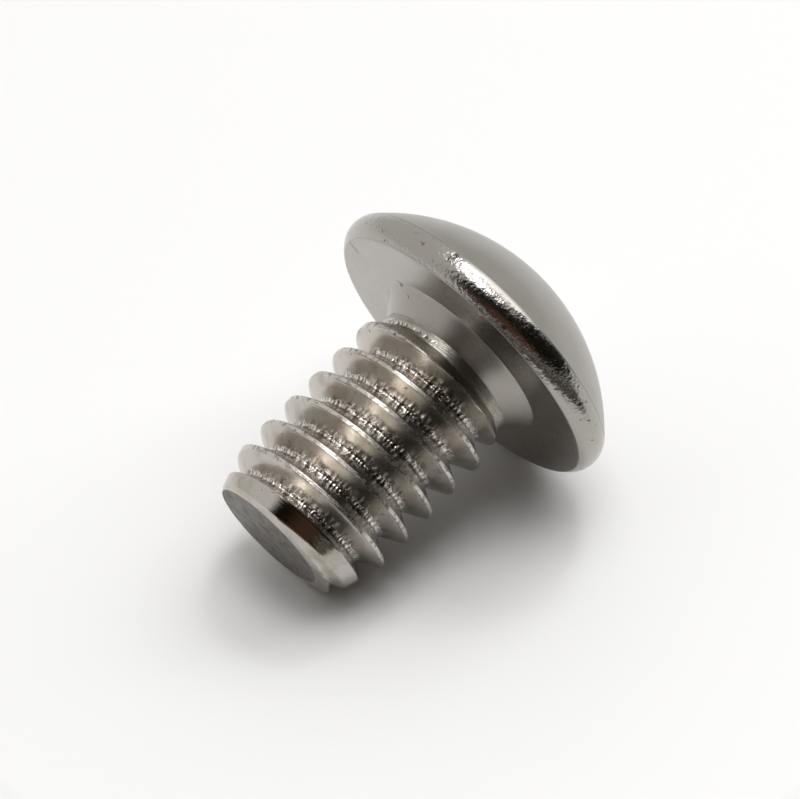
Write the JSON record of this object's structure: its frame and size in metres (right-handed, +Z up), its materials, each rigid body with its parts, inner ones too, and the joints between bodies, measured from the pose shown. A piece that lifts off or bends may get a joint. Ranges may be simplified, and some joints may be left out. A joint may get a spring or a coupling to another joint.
{
  "type": "thread-forming screw",
  "caption": "Small stainless button head machine screw with a blunt, briefly tapered point, a rolled helical thread and a hexagon socket, lying on its side.",
  "frame": {"origin": "on the surface it lies on, under the middle of its bounding box", "axes": "+X from the point to the head along the surface, +Z up; the screw's own axis lies in the XZ plane and climbs 18.7 degrees towards the head"},
  "size_m": [0.009, 0.0078, 0.0075],
  "materials": {
    "stainless_steel": "bare passivated stainless: rolled flanks smooth, band of the head lightly peened, crown satin"
  },
  "bodies": {
    "root": {"screw": "stainless_steel"}
  },
  "joints": []
}
